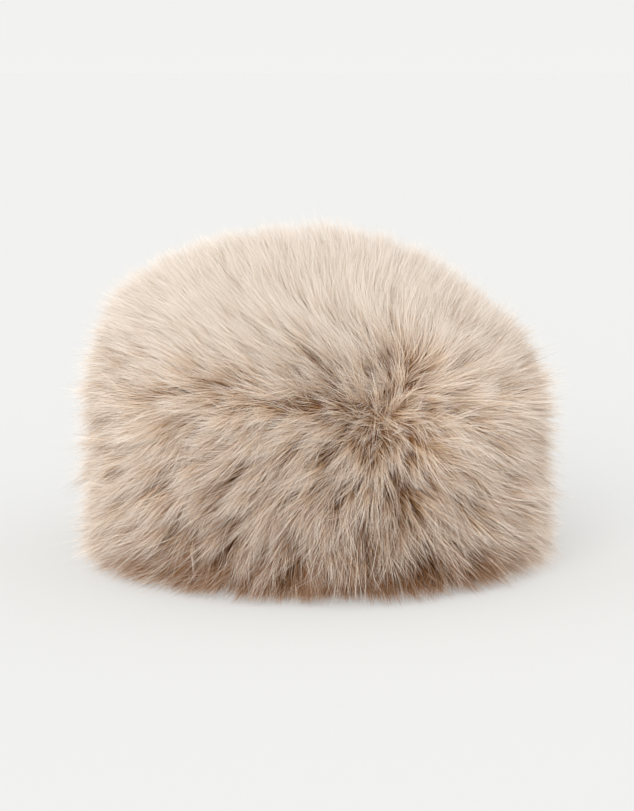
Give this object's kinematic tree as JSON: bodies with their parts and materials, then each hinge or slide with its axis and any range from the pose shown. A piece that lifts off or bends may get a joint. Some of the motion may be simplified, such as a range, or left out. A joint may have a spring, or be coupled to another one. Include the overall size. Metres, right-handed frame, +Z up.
{
  "type": "fur pillbox hat",
  "caption": "Oval brimless hat of long soft fur cloth: a straight side band closed by a low domed top, hollow inside and open below for the head.",
  "frame": {"origin": "on the surface the hat rests on, under the middle of the hat", "axes": "+Z up through the crown, +X across the head to the wearer's left, -Y to the front of the hat"},
  "size_m": [0.262, 0.2709, 0.1718],
  "materials": {
    "band_fur": "long soft pile, brown at the roots and pale at the tips",
    "top_fur": "long soft pile, brown at the roots and pale at the tips"
  },
  "bodies": {
    "root": {"side_band": "band_fur", "crown_top": "top_fur"}
  },
  "joints": []
}
